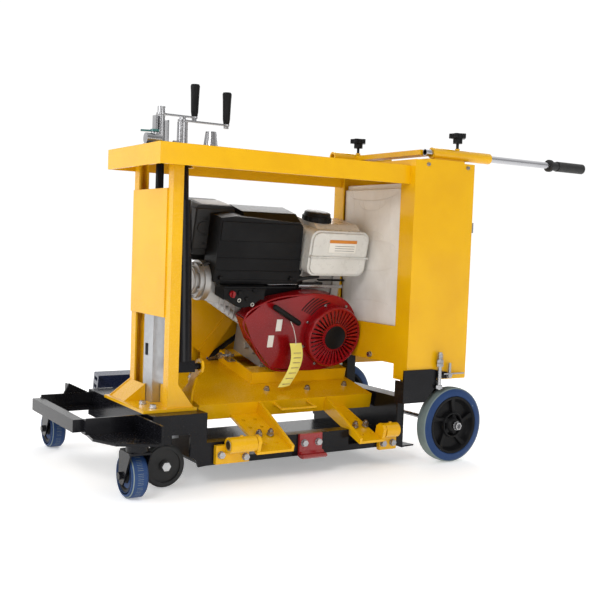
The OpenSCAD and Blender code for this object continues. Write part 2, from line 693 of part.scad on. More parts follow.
// ---------------------------------------------------------------- deck
module engine_deck() color(yellow) on_deck() {
    t = sheet;
    difference() {
        union() {
            bx(deck_x0, deck_x1, 0, deck_w, -t, 0);
            bx(deck_x0, deck_x1, 0, t, -skirt_h, -t);
            for (x = [deck_x0, deck_x1 - t]) bx(x, x + t, t, deck_w, -skirt_h, -t);
        }
        for (p = deck_bolt_pos) rod_z(-t - 1, 1, p[0], p[1], 5.2);
    }
    // U-shaped lifting rod on the near skirt
    rod_y(-42, 0, 414, -10, 4);
    rod_y(-42, 0, 520, -10, 4);
    rod_x(414, 520, -42, -10, 4);
    for (x = [414, 520]) translate([x, -42, -10]) sphere(r = 4);
    // Lift bracket that reaches forward to the jack pin
    p = lift_pin();
    difference() {
        union() {
            slab_x(182, deck_x0) polygon([[36, -skirt_h], [92, -skirt_h], [88, 10], [62, 40], [p[0] + 26, p[1] - 10],
                [p[0] + 18, p[1] + 10], [p[0] + 6, p[1] + 18], [p[0] - 10, p[1] + 17], [p[0] - 18, p[1] + 4],
                [p[0] - 16, p[1] - 12], [p[0] + 8, p[1] - 34], [36, 30]]);
        }
        rod_x(180, 190, p[0], p[1], 12);
    }
}
// The jack pin's place in deck coordinates
function lift_pin() = let (d = jack_pin - deck_edge)
    [d[0] * cos(deck_tilt) + d[1] * sin(deck_tilt), -d[0] * sin(deck_tilt) + d[1] * cos(deck_tilt)];
// The hinge axis in deck coordinates
function hinge_local() = let (d = hinge - deck_edge)
    [d[0] * cos(deck_tilt) + d[1] * sin(deck_tilt), -d[0] * sin(deck_tilt) + d[1] * cos(deck_tilt)];
deck_bolt_pos = [[430, 74], [556, 63], [260, 200], [240, 290], [690, 74]];

// Two bent arms with hinge ears and stub shafts
arm_hole_y = [-32, -70, -114, -150];
arm_a = [0, -skirt_h + 2];
arm_b = [-184, -62];
arm_dir = [1, (arm_a[1] - arm_b[1]) / (arm_a[0] - arm_b[0])];
module deck_arms() color(yellow) on_deck() {
    deck_arm(284, 364, 364, 266, 276);
    deck_arm(584, 650, 576, 650, 660);
    h = hinge_local();
    rod_x(192, 276, h[0], h[1], shaft_r);
    rod_x(650, 706, h[0], h[1], shaft_r);
}
module deck_arm(x0, x1, web_x, ear0, ear1) {
    // The arm drops from the skirt's lower edge to under the hinge axis
    h = hinge_local();
    difference() {
        union() {
            slab_x(x0, x1) polygon([arm_a, arm_b, arm_b + [0, 7], arm_a + [0, 7]]);
            slab_x(web_x, web_x + 8) polygon([arm_a, arm_b, arm_b + [0, 16], [-6, -2], [0, -2]]);
            // Foot of the ear, then the ear that holds the stub shaft
            slab_x(min(ear0, x0), max(ear1, x0)) polygon([arm_b, arm_b + [0, 7], arm_b + 36 * arm_dir + [0, 7], arm_b + 36 * arm_dir]);
            slab_x(ear0, ear1) polygon([arm_b + [2, 2], h + [-17, 10], h + [-8, 19], h + [8, 19], h + [18, 8], arm_b + 34 * arm_dir + [0, 3]]);
        }
        for (x = [x0 + 23, x0 + 57], y = arm_hole_y)
            translate([x, y, arm_a[1] + y * arm_dir[1] - 10]) cylinder(r = 5.2, h = 30);
    }
}
module deck_bolts() color(zinc) on_deck() {
    // Dome nuts on the deck
    for (p = deck_bolt_pos) {
        rod_z(-sheet - 4, 0, p[0], p[1], 5);
        translate([p[0], p[1], 0]) { cylinder(r = 9, h = 2); translate([0, 0, 2]) hex(14, 5); translate([0, 0, 6]) cylinder(r = 5.6, h = 5); }
        translate([p[0], p[1], -sheet - 6]) hex(14, 6);
    }
    // Arm bolts with nuts
    for (x = [307, 341, 607, 641]) {
        y = arm_hole_y[2];
        z = arm_a[1] + y * arm_dir[1];
        translate([x, y, z + 8.6]) { cylinder(r = 9.5, h = 3); translate([0, 0, 3]) hex(15, 8); translate([0, 0, 11]) cylinder(r = 5, h = 5); }
        translate([x, y, z - 8]) cylinder(r = 5, h = 18);
        translate([x, y, z - 12]) hex(15, 10);
    }
    // Belt tension screw at the front of the sub-base
    rod_x(366, 405, 236, 46, 5);
    translate([358, 236, 46]) rotate([0, 90, 0]) hex(17, 8);
    difference() {
        bx(384, 390, 222, 250, 34, 60);
        rod_x(383, 391, 236, 46, 5);
    }
    bx(384, 406, 222, 250, 30.5, 34);
}
module sub_base() color(yellow) on_deck() {
    x0 = 406;
    x1 = 724;
    h = 34;
    difference() {
        bx(x0, x1, 122, 322, 0, h);
        bx(x0 + 5, x1 - 5, 127, 317, -1, h - 5);
        bx(x0 - 1, x1 + 1, 172, 272, -1, h + 1);
        for (x = [468, 640], y = [150, 294]) rod_z(h - 6, h + 1, x, y, 5.2);
    }
    bx(x0, x0 + 5, 172, 272, 0, h);
}

// ---------------------------------------------------------------- saw drive
module belt_guard() color(yellow) on_deck() {
    near_y = 330;
    far_y = 361;
    outline = [[300, 245], [540, 245], [712, 200], [712, 90], [640, 60], [455, -88], [345, -88], [300, -40]];
    // Outer cover sheet
    difference() {
        slab_y(far_y, far_y + 3) polygon(outline);
        rod_y(far_y - 1, far_y + 4, arbor_c[0], arbor_c[1], 30);
    }
    // Inner sheet, cut away below the sloped edge
    difference() {
        slab_y(near_y, near_y + 3) polygon([[300, 245], [540, 245], [442, 118], [374, 8], [338, 31], [300, 60]]);
        rod_y(near_y - 1, near_y + 4, crank_c[0], crank_c[1], 60);
    }
    // Rim between them
    slab_y(near_y + 3, far_y) polygon([[300, 245], [540, 245], [540, 242], [303, 242], [303, 60], [300, 60]]);
    // Sloped stiffening strip on the near side
    slab_y(near_y - 3, near_y) polygon([[338, 33], [412, 134], [442, 120], [375, 9]]);
    // Feet on the deck
    for (x = [304, 350]) bx(x, x + 20, 300, near_y + 3, 0, 4);
    for (x = [304, 350]) bx(x, x + 20, near_y, near_y + 3, 4, 62);
    bx(700, 712, near_y - 10, far_y, 120, 124);
}
module blade_guard() color([0.06, 0.07, 0.16]) on_deck() {
    y0 = 368;
    y1 = 404;
    r = blade_d / 2 + 15;
    c = arbor_c;
    // Drum over the upper half of the blade
    difference() {
        slab_y(y0, y1) intersection() {
            translate(c) circle(r);
            translate([c[0] - r, c[1] - 50]) square([2 * r, r + 60]);
        }
        slab_y(y0 + 3, y1 - 3) translate(c) circle(r - 3);
        slab_y(y0 - 1, y0 + 4) translate(c) union() { circle(36); translate([-36, -60]) square([72, 60]); }
    }
    // Forward nose with see-through slots in its end plate
    nose_x = 60;
    top = -48;
    low = -98;
    join = c[0] - sqrt(r * r - pow(top - c[1], 2)) + 1.5;
    difference() {
        slab_y(y0, y1) polygon([[nose_x, low], [nose_x, top], [join, top], [join, low]]);
        slab_y(y0 - 1, y1 - 3) polygon([[nose_x + 3, low - 1], [nose_x + 3, top - 3], [join + 5, top - 3], [join + 5, low - 1]]);
        for (z = [-62, -84]) bx(nose_x - 1, nose_x + 4, y0 + 8, y1 - 8, z - 5, z + 5);
    }
    slab_y(y0, y0 + 3) polygon([[nose_x + 6, top - 3], [join, top - 3], [join, low], [nose_x + 60, low]]);
    // Bracket to the deck
    bx(c[0] - 150, c[0] - 120, 290, y0, 0.2, 4);
    bx(c[0] - 150, c[0] - 120, y0 - 4, y0, 4, 30);
}
module arbor_bearings() color(black) on_deck() {
    for (y = [236, 296]) difference() {
        slab_y(y, y + 24) union() {
            translate(arbor_c) circle(24);
            translate([arbor_c[0] - 42, -14]) square([84, 14 - sheet]);
            translate([arbor_c[0] - 24, arbor_c[1]]) square([48, 16]);
        }
        rod_y(y - 1, y + 25, arbor_c[0], arbor_c[1], 12.5 + run);
    }
}
module arbor_shaft() color(zinc) on_deck() {
    c = arbor_c;
    rod_y(226, 402 - 4, c[0], c[1], 12.5);
    // Driven pulley with two V grooves
    translate([c[0], pulley_y, c[1]]) rotate([90, 0, 0]) difference() {
        pulley(arbor_pulley_r);
        translate([0, 0, -20]) cylinder(r = 12.4, h = 40);
    }
    // Blade flanges and nut
    for (y = [blade_y - 10, blade_y + 2]) difference() {
        rod_y(y, y + 8, c[0], c[1], 30);
        rod_y(y - 1, y + 9, c[0], c[1], 12.4);
    }
}
module pulley(r) {
    rotate_extrude() polygon([[0, -13], [r, -13], [r, -11], [r - 9, -8], [r - 9, -5], [r, -2], [r, 2],
        [r - 9, 5], [r - 9, 8], [r, 11], [r, 13], [0, 13]]);
}
module blade() color([0.55, 0.55, 0.55]) on_deck() {
    r = blade_d / 2;
    slots = 20;
    difference() {
        slab_y(blade_y - 1.6, blade_y + 1.6) translate(arbor_c) difference() {
            circle(r);
            circle(12.55);
            for (i = [0 : slots - 1]) rotate(i * 360 / slots) translate([r - 14, -1.5]) square([20, 3]);
        }
    }
}
module drive_belts() color(black) on_deck() {
    // Two belts round both pulleys, drawn as a band between two outlines
    d = crank_c - arbor_c;
    dist = norm(d);
    ang = atan(d[1] / d[0]);
    gap = 0.4;
    for (y = [pulley_y - 6.5, pulley_y + 6.5]) slab_y(y - 1.2, y + 1.2)
        translate(arbor_c) rotate(ang) difference() {
            belt_outline(arbor_pulley_r - 1, pto_pulley_r - 1, dist);
            belt_outline(arbor_pulley_r - 9 + gap, pto_pulley_r - 9 + gap, dist);
        }
}
module belt_outline(r1, r2, dist) {
    lean = asin((r2 - r1) / dist);
    e = 0.05;
    side = [-sin(lean), cos(lean)];
    other = [-sin(lean), -cos(lean)];
    circle(r1);
    translate([dist, 0]) circle(r2);
    polygon([(r1 - e) * side, [dist, 0] + (r2 - e) * side, [dist, 0] + (r2 - e) * other, (r1 - e) * other]);
}
module crankshaft() color(zinc) on_deck() {
    c = crank_c;
    rod_y(118, 358, c[0], c[1], 12.5);
    translate([c[0], pulley_y, c[1]]) rotate([90, 0, 0]) difference() {
        pulley(pto_pulley_r);
        translate([0, 0, -20]) cylinder(r = 12.4, h = 40);
    }
    // Flywheel behind the recoil cover
    difference() {
        rod_y(122, 146, c[0], c[1], 80);
        rod_y(121, 147, c[0], c[1], 12.4);
    }
}

// ---------------------------------------------------------------- engine
module crankcase() color([0.55, 0.55, 0.55]) on_deck() {
    y0 = 166;
    y1 = 322;
    c = crank_c;
    difference() {
        union() {
            bx(452, 700, y0, y1, 44, 226);
            for (x = [452, 624]) bx(x, x + 36, y0 - 3, y1, 34, 44);
            rod_y(y1, y1 + 5, c[0], c[1], 48);
            // Cylinder leaning forward, with cooling fins
            slab_y(172, 262) polygon([[452, 120], [452, 226], [400, 283], [257, 283], [257, 228], [330, 212]]);
            for (i = [0 : 6]) translate([300 + i * 16, 0, 0]) bx(0, 5, 170, 268, 206 - i * 10, 283);
            // Rocker cover
            rod_x(240, 257, 200, 277, 54);
            rod_x(228, 240, 200, 277, 48);
            rod_x(219, 228, 200, 277, 38);
        }
        rod_y(y0 - 1, y1 + 6, c[0], c[1], 12.5 + run);
    }
    // Fuel tank legs and the linkage wall under the tank
    for (x = [560, 668]) bx(x, x + 24, 180, 300, 226, 312);
    bx(584, 668, 186, 194, 226, 300);
    // Drain plugs and the oil filler
    for (y = [200, 246]) rod_x(440, 452, y, 70, 9);
    translate([470, y0, 84]) rotate([90, 0, 0]) cylinder(r = 13, h = 20);
}
module blower_outline() {
    translate([614, 150]) circle(109);
    polygon([[350, 192], [386, 124], [454, 50], [556, 41], [614, 41], [614, 259], [600, 264], [534, 262], [400, 236]]);
}
module blower_housing() color(red) on_deck() {
    y0 = 108;
    y1 = 162;
    difference() {
        slab_y(y0, y1) blower_outline();
        // Hollow for the flywheel, and the thin-walled wing
        rod_y(y0 + 4, y1 + 1, crank_c[0], crank_c[1], 84);
        rod_y(y0 - 1, y0 + 5, crank_c[0], crank_c[1], 70);
        slab_y(y0 + 4, y1 + 1) polygon([[352, 194], [386, 128], [458, 58], [530, 46], [530, 254], [402, 228]]);
    }
}
module recoil_cover() color(red) on_deck() {
    r = recoil_d / 2;
    c = crank_c;
    difference() {
        union() {
            rod_y(92, 108, c[0], c[1], r);
            rod_y(86, 92, c[0], c[1], r - 4);
            rod_y(84, 86, c[0], c[1], r - 7);
        }
        rod_y(89, 109, c[0], c[1], r - 9);
        // Radial air slots
        for (a = [0 : 10 : 350]) translate([c[0], 0, c[1]]) rotate([0, a, 0])
            bx(40, r - 6, 83, 93, -2.4, 2.4);
    }
    // Hub boss for the starter pulley
    rod_y(88, 104, c[0], c[1], 16);
    rod_y(81.5, 84, c[0], c[1], 36);
}
grip_mid = [472, 208];
module recoil_grip() color(black) on_deck() {
    translate([grip_mid[0], 92, grip_mid[1]]) rotate([0, 29, 0]) {
        rod_x(-46, 46, 0, 0, 8);
        for (s = [-1, 1]) translate([46 * s, 0, 0]) sphere(r = 8);
        rod_y(0, 15.6, 14, 0, 6);
    }
}
module muffler() color(black) on_deck() {
    slab_y(208, 312) round_rect([216, 344], [332, 480], 14);
    slab_y(258, 300) polygon([[232, 346], [250, 318], [306, 318], [332, 346]]);
    rod_y(200, 210, 240, 420, 16);
    rod_x(208, 218, 258, 372, 13);
}
module air_cleaner() color(black) on_deck() {
    y0 = 138;
    difference() {
        slab_y(y0, 206) polygon([[258, 292], [266, 284], [510, 284], [521, 300], [512, 446], [502, 456], [300, 466], [258, 460]]);
        bx(300, 480, y0 + 14, 207, 300, 436);
    }
    slab_y(206, 262) polygon([[336, 340], [512, 340], [508, 446], [336, 470]]);
    // Cover top, sloped up to the back
    slab_x(336, 506) polygon([[y0 + 6, 456], [y0 + 40, 474], [250, 478], [262, 460]]);
    rod_x(508, 516, 190, 400, 9);
}
module control_box() color(black) on_deck() {
    slab_y(116, 168) difference() {
        union() {
            translate([282, 246]) square([124, 36]);
            translate([344, 288]) circle(64);
        }
        translate([200, 282]) square([260, 90]);
    }
}
module fuel_tank() color(white) on_deck() {
    difference() {
        union() {
            slab_y(112, 294) round_rect([526, 316], [722, 444], 26);
            slab_y(106, 300) round_rect([532, 322], [716, 438], 22);
            slab_y(103, 303) translate([528, 368]) square([194, 5]);
            slab_x(552, 700) polygon([[124, 440], [150, 456], [250, 456], [282, 440]]);
            rod_z(446, 464, 583, 186, 28);
        }
        rod_z(450, 500, 583, 186, 20);
    }
}
module fuel_cap() color(black) on_deck() {
    difference() {
        union() {
            rod_z(457, 471, 583, 186, 40);
            rod_z(471, 481, 583, 186, 35);
        }
        rod_z(456, 464.4, 583, 186, 28.3);
    }
}
module throttle_lever() color(black) on_deck() {
    // Lever that sweeps over a flat sector plate above the blower
    translate([598, 150, 283]) {
        cylinder(r = 12, h = 4);
        rotate(186) translate([0, -5, 0]) cube([64, 10, 4]);
    }
}
module engine_switch() color(red) on_deck() {
    translate([306, 116, 262]) rotate([90, 0, 0]) { cylinder(r = 9, h = 5); translate([-3, -8, 5]) cube([6, 16, 6]); }
}
module hang_tag() color([0.92, 0.86, 0.40]) on_deck() {
    // Paper tag that hangs from the recoil grip in front of the blower
    translate([508, 78, 128]) rotate([-12, 8, 0]) bx(-19, 19, -0.6, 0.6, -122, 0);
}

// ---------------------------------------------------------------- handle
module push_bar() color([0.8, 0.8, 0.82]) difference() {
    rod_x(775, 1400, clamp_y[0], clamp_z, bar_d / 2);
    rod_x(774, 1401, clamp_y[0], clamp_z, bar_d / 2 - 2);
}
module handle_grip() color(black) difference() {
    union() {
        rod_x(1254, 1262, clamp_y[0], clamp_z, grip_d / 2 + 3);
        rod_x(1262, 1290, clamp_y[0], clamp_z, grip_d / 2 - 2);
        rod_x(1290, bar_end_x, clamp_y[0], clamp_z, grip_d / 2);
    }
    rod_x(1250, 1400, clamp_y[0], clamp_z, bar_d / 2);
}
module star_knob(i) color(black) {
    z = clamp_z + clamp_r;
    translate([clamp_x[i] + knob_dx, clamp_y[i], 0]) {
        translate([0, 0, clamp_z + bar_d / 2 + 0.3]) cylinder(r = 4, h = 34);
        translate([0, 0, z + 18]) cylinder(r = 13, h = 14);
        translate([0, 0, z + 32]) cylinder(r = 19, h = 13);
        for (a = [0 : 72 : 288]) rotate(a) translate([18, 0, z + 32]) cylinder(r = 6.5, h = 13);
    }
}
module star_knob_near() star_knob(0);
module star_knob_far() star_knob(1);

place() base_frame();
place() front_frame();
place() column();
place() top_beam();
place() tank_housing();
place() water_tank();
place() tank_cap();
place() axle_bracket();
place() rear_axle();
place() hinge_housings();
place() lashing_hook();
place() frame_bolts();
place() crank_posts();
place() water_fittings();
place() valve_lever();
place() guide_sleeve();
place() caster_fork_near();
place() caster_wheel_near();
place() caster_fork_far();
place() caster_wheel_far();
place() guide_slide();
place() guide_wheel();
place() rear_tyre_near();
place() rear_hub_near();
place() rear_tyre_far();
place() rear_hub_far();
place() push_bar();
place() handle_grip();
place() star_knob_near();
place() star_knob_far();
place() crank_a();
place() crank_grip_a();
place() crank_b();
place() crank_grip_b();
place() jack_upper();
place() jack_lower();
place() jack_screw();
place() engine_deck();
place() deck_arms();
place() deck_bolts();
place() sub_base();
place() belt_guard();
place() blade_guard();
place() arbor_bearings();
place() drive_belts();
place() arbor_shaft();
place() blade();
place() crankshaft();
place() crankcase();
place() blower_housing();
place() recoil_cover();
place() recoil_grip();
place() muffler();
place() air_cleaner();
place() control_box();
place() fuel_tank();
place() fuel_cap();
place() throttle_lever();
place() engine_switch();
place() hang_tag();
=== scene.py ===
import json
import math

import bmesh
import bpy
from mathutils import Matrix, Vector


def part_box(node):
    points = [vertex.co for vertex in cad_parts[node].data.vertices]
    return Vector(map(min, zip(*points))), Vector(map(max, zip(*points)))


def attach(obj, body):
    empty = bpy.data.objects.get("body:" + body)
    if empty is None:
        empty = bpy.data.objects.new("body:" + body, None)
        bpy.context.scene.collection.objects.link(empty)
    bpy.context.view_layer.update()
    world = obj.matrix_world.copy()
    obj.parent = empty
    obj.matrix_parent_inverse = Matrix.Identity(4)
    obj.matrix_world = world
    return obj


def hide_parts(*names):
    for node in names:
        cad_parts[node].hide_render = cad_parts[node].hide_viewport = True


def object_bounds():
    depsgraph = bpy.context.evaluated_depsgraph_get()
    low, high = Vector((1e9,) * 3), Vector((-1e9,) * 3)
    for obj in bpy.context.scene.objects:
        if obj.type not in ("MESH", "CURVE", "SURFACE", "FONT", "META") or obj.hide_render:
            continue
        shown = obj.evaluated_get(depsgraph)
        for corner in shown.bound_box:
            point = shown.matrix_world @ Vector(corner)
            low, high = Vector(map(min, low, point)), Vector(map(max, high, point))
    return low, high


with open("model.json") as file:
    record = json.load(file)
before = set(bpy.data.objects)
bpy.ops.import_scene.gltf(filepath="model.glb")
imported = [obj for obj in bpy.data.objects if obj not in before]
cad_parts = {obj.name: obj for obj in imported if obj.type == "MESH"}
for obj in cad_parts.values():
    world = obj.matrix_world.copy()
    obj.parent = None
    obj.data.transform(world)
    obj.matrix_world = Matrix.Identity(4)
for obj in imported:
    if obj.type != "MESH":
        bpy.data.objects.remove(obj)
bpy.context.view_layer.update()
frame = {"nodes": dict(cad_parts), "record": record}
joints = {j["name"]: j for j in frame["record"]["behaviour"]["joints"]}

# ------------------------------------------------------------------ frames of reference
MM = 0.001
beam_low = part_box("top_beam")[0]
BEAM_NEAR = -18
DECK_Y = Vector(joints["blade_spin"]["axis"]).normalized()
DECK_Z = Vector((1, 0, 0)).cross(DECK_Y)
ARBOR = (400, 300, -30)
deck_zero = Vector(joints["blade_spin"]["pos_m"]) - MM * (
    ARBOR[0] * Vector((1, 0, 0)) + ARBOR[1] * DECK_Y + ARBOR[2] * DECK_Z)


def at(x, y, z):
    """A point in millimetres from the beam's front end, the near rail's face and the floor."""
    return Vector((beam_low[0] + x * MM, beam_low[1] + (y - BEAM_NEAR) * MM, z * MM))


def deck(x, y, z):
    """A point in millimetres along, across and above the tilted deck."""
    return deck_zero + MM * (x * Vector((1, 0, 0)) + y * DECK_Y + z * DECK_Z)


def deck_matrix(x, y, z):
    """Placement with its axes along the deck."""
    m = Matrix((Vector((1, 0, 0)), DECK_Y, DECK_Z)).transposed().to_4x4()
    return Matrix.Translation(deck(x, y, z)) @ m


# ------------------------------------------------------------------ materials
def ramp(tree, source, low, high, at_low=0.35, at_high=0.65):
    """A value or colour that runs from low to high as the source runs between two stops."""
    node = tree.nodes.new("ShaderNodeMapRange")
    node.inputs["From Min"].default_value = at_low
    node.inputs["From Max"].default_value = at_high
    node.inputs["To Min"].default_value = low
    node.inputs["To Max"].default_value = high
    tree.links.new(source, node.inputs["Value"])
    return node.outputs["Result"]


def noise(tree, coords, scale, detail=4.0, rough=0.6):
    node = tree.nodes.new("ShaderNodeTexNoise")
    node.inputs["Scale"].default_value = scale
    node.inputs["Detail"].default_value = detail
    node.inputs["Roughness"].default_value = rough
    tree.links.new(coords, node.inputs["Vector"])
    return node.outputs["Fac"]


def mix(tree, fac, a, b):
    """Colour b laid over colour a by a factor that is a socket."""
    node = tree.nodes.new("ShaderNodeMix")
    node.data_type = "RGBA"
    tree.links.new(fac, node.inputs["Factor"])
    for value, socket in ((a, node.inputs["A"]), (b, node.inputs["B"])):
        if isinstance(value, bpy.types.NodeSocket):
            tree.links.new(value, socket)
        else:
            socket.default_value = (*value, 1)
    return node.outputs["Result"]


def material(name, colour, second, rough, metal=0.0, coat=0.0, grain=400.0, bump=0.05,
             wear=None, wear_amount=0.0, edge=0.0012, extra=None, shine=0.5):
    """A procedural finish: colour drift, roughness drift, fine grain and soft worn edges."""
    m = bpy.data.materials.new(name)
    m.use_nodes = True
    t = m.node_tree
    bsdf = t.nodes["Principled BSDF"]
    coords = t.nodes.new("ShaderNodeTexCoord").outputs["Object"]
    drift = noise(t, coords, 9.0, 6.0)
    fine = noise(t, coords, grain, 3.0)
    tone = mix(t, ramp(t, drift, 0.0, 1.0), colour, second)
    if wear:
        spots = noise(t, coords, 38.0, 8.0, 0.72)
        tone = mix(t, ramp(t, spots, 0.0, 1.0, 0.72 - wear_amount, 0.74 - wear_amount * 0.8), tone, wear)
    if extra:
        tone = extra(t, tone)
    t.links.new(tone, bsdf.inputs["Base Color"])
    t.links.new(ramp(t, fine, max(rough - 0.07, 0.03), rough + 0.09), bsdf.inputs["Roughness"])
    bsdf.inputs["Metallic"].default_value = metal
    bsdf.inputs["Coat Weight"].default_value = coat
    bsdf.inputs["Coat Roughness"].default_value = 0.08
    bsdf.inputs["Specular IOR Level"].default_value = shine
    round_edge = t.nodes.new("ShaderNodeBevel")
    round_edge.samples = 3
    round_edge.inputs["Radius"].default_value = edge
    relief = t.nodes.new("ShaderNodeBump")
    relief.inputs["Strength"].default_value = bump
    relief.inputs["Distance"].default_value = 0.001
    t.links.new(fine, relief.inputs["Height"])
    t.links.new(round_edge.outputs["Normal"], relief.inputs["Normal"])
    t.links.new(relief.outputs["Normal"], bsdf.inputs["Normal"])
    return m


def by_height(low, high, colour):
    """An overlay that fades in with height in the part's own frame, from low to high in metres."""
    def add(t, tone):
        pos = t.nodes.new("ShaderNodeTexCoord").outputs["Object"]
        split = t.nodes.new("ShaderNodeSeparateXYZ")
        t.links.new(pos, split.inputs["Vector"])
        return mix(t, ramp(t, split.outputs["Z"], 0.0, 1.0, low, high), tone, colour)
    return add


YELLOW = material("yellow_coat", (0.78, 0.425, 0.001), (0.72, 0.375, 0.001), 0.24,
                  coat=0.2, shine=0.3, grain=520, bump=0.05, wear=(0.50, 0.30, 0.01), wear_amount=0.015)
BLACK = material("black_enamel", (0.003, 0.003, 0.004), (0.007, 0.007, 0.009), 0.2,
                 coat=0.05, shine=0.16, bump=0.06, wear=(0.10, 0.09, 0.08), wear_amount=0.03)
BLUE = material("blue_enamel", (0.012, 0.018, 0.055), (0.02, 0.028, 0.07), 0.26, coat=0.5, bump=0.05)
RED = material("red_enamel", (0.27, 0.003, 0.006), (0.20, 0.002, 0.004), 0.22,
               coat=0.15, bump=0.04, shine=0.3)
HOOK_RED = material("hook_red", (0.30, 0.01, 0.012), (0.22, 0.006, 0.008), 0.3, coat=0.3, bump=0.08)
ZINC = material("zinc_plate", (0.44, 0.44, 0.45), (0.31, 0.31, 0.32), 0.24,
                metal=0.95, bump=0.08, wear=(0.30, 0.24, 0.14), wear_amount=0.02, edge=0.0006)
GALVANISED = material("galvanised", (0.55, 0.56, 0.57), (0.42, 0.43, 0.45), 0.38,
                      metal=0.9, grain=120, bump=0.08)
ALLOY = material("cast_alloy", (0.48, 0.47, 0.45), (0.36, 0.35, 0.34), 0.48,
                 metal=0.85, grain=700, bump=0.25)
CHROME = material("chrome_bar", (0.50, 0.50, 0.52), (0.42, 0.42, 0.44), 0.16,
                  metal=1.0, bump=0.01, edge=0.0004)
TYRE = material("tyre_side", (0.010, 0.036, 0.12), (0.022, 0.055, 0.15), 0.55,
                bump=0.12, shine=0.25, wear=(0.12, 0.16, 0.20), wear_amount=0.05)
TREAD = material("tyre_tread", (0.13, 0.17, 0.17), (0.20, 0.24, 0.22), 0.75,
                 grain=260, bump=0.35, wear=(0.05, 0.09, 0.14), wear_amount=0.08)
RUBBER = material("black_rubber", (0.010, 0.010, 0.010), (0.022, 0.022, 0.022), 0.5, bump=0.2, shine=0.3)
PLASTIC = material("black_plastic", (0.004, 0.004, 0.0045), (0.009, 0.009, 0.0095), 0.4,
                   grain=900, bump=0.15, shine=0.12)
EXHAUST = material("exhaust_black", (0.008, 0.008, 0.008), (0.02, 0.018, 0.016), 0.5,
                   grain=500, bump=0.3, shine=0.3)
STEEL = material("ground_steel", (0.45, 0.45, 0.46), (0.35, 0.35, 0.36), 0.3, metal=1.0, bump=0.1)
WATER = material("tank_white", (0.80, 0.78, 0.74), (0.70, 0.67, 0.62), 0.42,
                 grain=30, bump=0.25, edge=0.004)
TEAL = material("teal_lever", (0.01, 0.14, 0.13), (0.01, 0.10, 0.10), 0.3, coat=0.4)
PAPER = material("tag_paper", (0.84, 0.74, 0.16), (0.78, 0.68, 0.14), 0.6, bump=0.1)
LABEL = material("label_white", (0.78, 0.76, 0.70), (0.70, 0.68, 0.62), 0.45)
ORANGE = material("label_orange", (0.62, 0.22, 0.02), (0.55, 0.18, 0.02), 0.45)
TAN = material("label_tan", (0.42, 0.30, 0.16), (0.36, 0.25, 0.13), 0.5)
GREY = material("label_grey", (0.28, 0.28, 0.27), (0.22, 0.22, 0.21), 0.5)

# The fuel tank turns darker and browner towards its top
fuel_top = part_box("fuel_tank")[1][2]
FUEL = material("fuel_tank_white", (0.66, 0.65, 0.61), (0.58, 0.57, 0.53), 0.3,
                grain=60, bump=0.08, edge=0.004,
                extra=by_height(fuel_top - 0.045, fuel_top + 0.02, (0.36, 0.24, 0.13)))

# The guide sleeve is galvanised up to its lid, and its screw tube above that is black
SLEEVE_TOP = 430
SLEEVE = material("sleeve_finish", (0.55, 0.56, 0.57), (0.42, 0.43, 0.45), 0.38,
                  metal=0.9, grain=120, bump=0.08,
                  extra=by_height((SLEEVE_TOP + 0.4) * MM, (SLEEVE_TOP + 0.8) * MM, (0.008, 0.008, 0.009)))

FINISH = {
    "yellow_paint": YELLOW, "black_paint": BLACK, "red_paint": RED, "blue_paint": BLUE, "zinc": ZINC,
    "galvanised": GALVANISED, "cast_alloy": ALLOY, "chrome_bar": CHROME, "tyre_blue": TYRE,
    "rubber_black": RUBBER, "black_plastic": PLASTIC, "tank_plastic": WATER,
    "black_exhaust": EXHAUST, "blade_steel": STEEL, "tag_paper": PAPER, "teal_lever": TEAL,
}
SLOT_OF = {s["node"]: s["material_slot"] for s in frame["record"]["subparts"]}
for node_name, node_object in frame["nodes"].items():
    node_object.data.materials.clear()
    node_object.data.materials.append(FINISH[SLOT_OF[node_name]])
frame["nodes"]["fuel_tank"].data.materials[0] = FUEL
frame["nodes"]["lashing_hook"].data.materials[0] = HOOK_RED
frame["nodes"]["guide_sleeve"].data.materials[0] = SLEEVE


# ------------------------------------------------------------------ building blocks
SHARP = math.radians(38)
BLOCK_SHARP = math.radians(40)
ON_AXIS = 0.01


def add_object(name, verts, faces, mats, smooth=True, face_mats=None):
    """A mesh object from points, faces and each face's material."""
    mesh = bpy.data.meshes.new(name)
    mesh.from_pydata([tuple(v) for v in verts], [], faces)
    for m in mats:
        mesh.materials.append(m)
    if face_mats:
        mesh.polygons.foreach_set("material_index", face_mats)
    obj = bpy.data.objects.new(name, mesh)
    bpy.context.collection.objects.link(obj)
    mesh.update()
    if smooth:
        mesh.shade_smooth()
        mesh.set_sharp_from_angle(angle=SHARP)
    return obj


def finish_piece(obj, body):
    """Gives the piece the body it moves with."""
    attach(obj, body)
    return obj


def weld(obj):
    """Joins doubled points and turns every face outwards."""
    bm = bmesh.new()
    bm.from_mesh(obj.data)
    bmesh.ops.remove_doubles(bm, verts=bm.verts, dist=1e-6)
    bmesh.ops.recalc_face_normals(bm, faces=bm.faces)
    bm.to_mesh(obj.data)
    bm.free()


def lathe(name, profile, centre, axis, body, mats, steps=96, bands=None):
    """A turned piece from (along the axis, radius) points in millimetres.

    bands gives the material number of each stretch between two points.
    """
    axis = Vector(axis).normalized()
    side = axis.orthogonal().normalized()
    other = axis.cross(side)
    verts, faces, index = [], [], []
    for i in range(steps):
        a = math.tau * i / steps
        ray = math.cos(a) * side + math.sin(a) * other
        for along, radius in profile:
            verts.append(centre + MM * (along * axis + radius * ray))
    n = len(profile)
    for i in range(steps):
        j = (i + 1) % steps
        for k in range(n - 1):
            faces.append((i * n + k, i * n + k + 1, j * n + k + 1, j * n + k))
            index.append(bands[k] if bands else 0)
    obj = add_object(name, verts, faces, mats, True, index)
    weld(obj)
    return finish_piece(obj, body)


